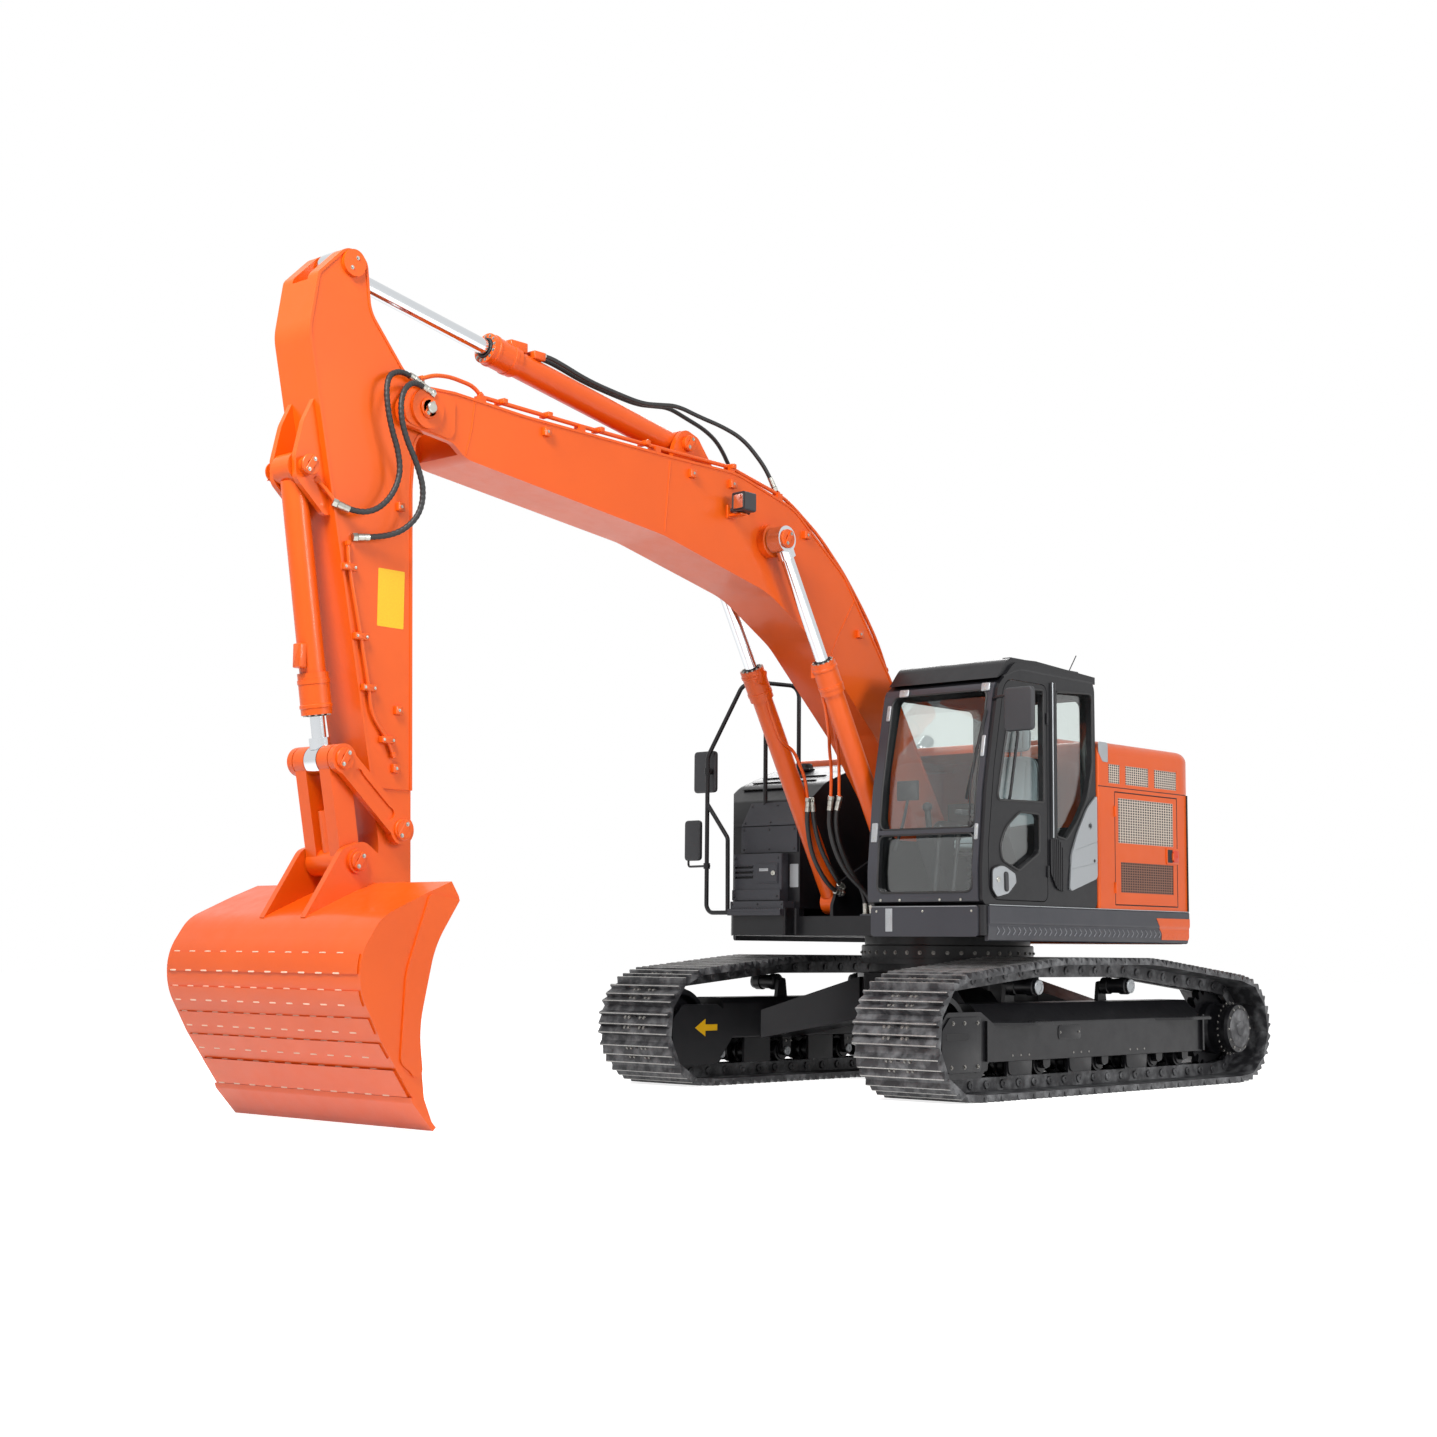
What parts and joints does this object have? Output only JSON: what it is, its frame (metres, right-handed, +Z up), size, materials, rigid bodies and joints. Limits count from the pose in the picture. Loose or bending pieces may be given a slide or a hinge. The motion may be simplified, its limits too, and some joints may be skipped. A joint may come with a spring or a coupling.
{
  "type": "crawler excavator",
  "caption": "Crawler excavator with a short rounded tail, enclosed cab, one-piece boom, arm and a wide toothless bucket on long tracks.",
  "frame": {"origin": "on the ground, on the axis that the upper body swings about", "axes": "+X to the machine's front, +Y to its left, +Z up"},
  "size_m": [8.6767, 3.433, 5.0298],
  "materials": {
    "orange_paint": "gloss orange enamel",
    "black_paint": "satin black enamel",
    "grey_paint": "satin grey enamel",
    "chrome_rod": "ground hard chrome",
    "cab_glazing": "clear safety glass",
    "seat_fabric": "woven grey fabric",
    "silver_paint": "satin silver enamel",
    "track_steel": "black painted forged steel"
  },
  "bodies": {
    "root": {"centre_frame": "black_paint", "slew_ring_lower": "track_steel", "track_frame_left": "black_paint", "track_frame_right": "black_paint", "track_left": "track_steel", "track_right": "track_steel", "idlers": "track_steel", "sprockets": "track_steel", "lower_rollers": "track_steel", "carrier_rollers": "track_steel"},
    "upper": {"slew_ring_upper": "track_steel", "deck": "black_paint", "counterweight": "orange_paint", "left_housing": "orange_paint", "right_housing": "orange_paint", "upper_cowl": "orange_paint", "engine": "black_paint", "exhaust": "track_steel", "tank_housing": "black_paint", "step_box": "grey_paint", "side_skirts": "grey_paint", "cab_shell": "black_paint", "cab_glass": "cab_glazing", "screen_frame": "grey_paint", "cab_cover": "silver_paint", "seat": "seat_fabric", "consoles": "black_paint", "mirrors": "black_paint", "handrail": "black_paint"},
    "cab_door": {"cab_door": "black_paint", "cab_door_glass": "cab_glazing"},
    "hood": {"engine_hood": "orange_paint"},
    "left_service_door": {"left_service_door": "orange_paint"},
    "right_service_door": {"right_service_door": "orange_paint"},
    "boom": {"boom": "orange_paint", "boom_pipes": "orange_paint", "work_lamp": "black_paint"},
    "boom_barrel_left": {"boom_barrel_left": "orange_paint"},
    "boom_barrel_right": {"boom_barrel_right": "orange_paint"},
    "boom_rod_left": {"boom_rod_left": "chrome_rod"},
    "boom_rod_right": {"boom_rod_right": "chrome_rod"},
    "arm_barrel": {"arm_barrel": "orange_paint"},
    "arm_rod": {"arm_rod": "chrome_rod"},
    "arm": {"arm": "orange_paint"},
    "bucket_barrel": {"bucket_barrel": "orange_paint"},
    "bucket_rod": {"bucket_rod": "chrome_rod"},
    "side_links": {"side_links": "orange_paint"},
    "bucket_link": {"bucket_link": "orange_paint"},
    "bucket": {"bucket": "orange_paint"}
  },
  "joints": [
    {"name": "swing", "type": "hinge", "parent": "root", "child": "upper", "pos_m": [0, 0, 1.0355], "axis": [0, 0, 1], "continuous": true},
    {"name": "boom_lift", "type": "hinge", "parent": "upper", "child": "boom", "pos_m": [0.34, 0, 1.83], "axis": [0, -1, 0], "range_deg": [-58, 38]},
    {"name": "arm_swing", "type": "hinge", "parent": "boom", "child": "arm", "pos_m": [5.515, 0, 4.165], "axis": [0, 1, 0], "range_deg": [-73, 39]},
    {"name": "bucket_curl", "type": "hinge", "parent": "arm", "child": "bucket", "pos_m": [5.645, 0, 1.255], "axis": [0, 1, 0], "range_deg": [-14, 150]},
    {"name": "cab_door_hinge", "type": "hinge", "parent": "upper", "child": "cab_door", "pos_m": [0.803, 1.456, 2.1], "axis": [0, 0, 1], "range_deg": [0, 150]},
    {"name": "left_door_hinge", "type": "hinge", "parent": "upper", "child": "left_service_door", "pos_m": [-0.073, 1.466, 1.76], "axis": [0, 0, -1], "range_deg": [0, 100]},
    {"name": "right_door_hinge", "type": "hinge", "parent": "upper", "child": "right_service_door", "pos_m": [-0.073, -1.466, 1.76], "axis": [0, 0, 1], "range_deg": [0, 100]},
    {"name": "hood_hinge", "type": "hinge", "parent": "upper", "child": "hood", "pos_m": [-0.154, 0, 2.55], "axis": [0, 1, 0], "range_deg": [0, 60]},
    {"name": "boom_barrel_left_tilt", "type": "hinge", "parent": "upper", "child": "boom_barrel_left", "pos_m": [0.985, 0.332, 1.357], "axis": [0, -1, 0], "range_deg": [-59.18, 38.84]},
    {"name": "boom_rod_left_slide", "type": "slide", "parent": "boom_barrel_left", "child": "boom_rod_left", "axis": [0.4972, 0, 0.8676], "range_m": [-0.7141, 0.4685]},
    {"name": "boom_barrel_right_tilt", "type": "hinge", "parent": "upper", "child": "boom_barrel_right", "pos_m": [0.985, -0.332, 1.357], "axis": [0, -1, 0], "range_deg": [-59.18, 38.84]},
    {"name": "boom_rod_right_slide", "type": "slide", "parent": "boom_barrel_right", "child": "boom_rod_right", "axis": [0.4972, 0, 0.8676], "range_m": [-0.7141, 0.4685]},
    {"name": "arm_barrel_tilt", "type": "hinge", "parent": "boom", "child": "arm_barrel", "pos_m": [3.148, 0, 4.398], "axis": [0, -1, 0], "range_deg": [-6.8, 12.56]},
    {"name": "arm_rod_slide", "type": "slide", "parent": "arm_barrel", "child": "arm_rod", "axis": [0.9832, 0, 0.1824], "range_m": [-0.9642, 0.516]},
    {"name": "bucket_barrel_tilt", "type": "hinge", "parent": "arm", "child": "bucket_barrel", "pos_m": [6.31, 0, 3.699], "axis": [0, -1, 0], "range_deg": [-0.66, 5.17]},
    {"name": "bucket_rod_slide", "type": "slide", "parent": "bucket_barrel", "child": "bucket_rod", "axis": [-0.1585, 0, -0.9874], "range_m": [-0.0811, 0.8492]},
    {"name": "side_link_tilt", "type": "hinge", "parent": "arm", "child": "side_links", "pos_m": [5.612, 0, 1.664], "axis": [0, -1, 0], "range_deg": [-94.93, 9.04]},
    {"name": "bucket_link_tilt", "type": "hinge", "parent": "bucket", "child": "bucket_link", "pos_m": [5.938, 0, 1.472], "axis": [0, -1, 0], "range_deg": [-10.33, 108.78]}
  ],
  "couplings": [
    {"joint": "boom_barrel_left_tilt", "follows": "boom_lift", "ratio": 1.017},
    {"joint": "boom_rod_left_slide", "follows": "boom_lift", "m_per_rad": 0.70343},
    {"joint": "boom_barrel_right_tilt", "follows": "boom_lift", "ratio": 1.017},
    {"joint": "boom_rod_right_slide", "follows": "boom_lift", "m_per_rad": 0.70343},
    {"joint": "arm_barrel_tilt", "follows": "arm_swing", "ratio": -0.16937},
    {"joint": "arm_rod_slide", "follows": "arm_swing", "m_per_rad": 0.75519},
    {"joint": "bucket_barrel_tilt", "follows": "bucket_curl", "ratio": 0.033129},
    {"joint": "bucket_rod_slide", "follows": "bucket_curl", "m_per_rad": 0.32359},
    {"joint": "side_link_tilt", "follows": "bucket_curl", "ratio": -0.63153},
    {"joint": "bucket_link_tilt", "follows": "bucket_curl", "ratio": 0.72388}
  ]
}
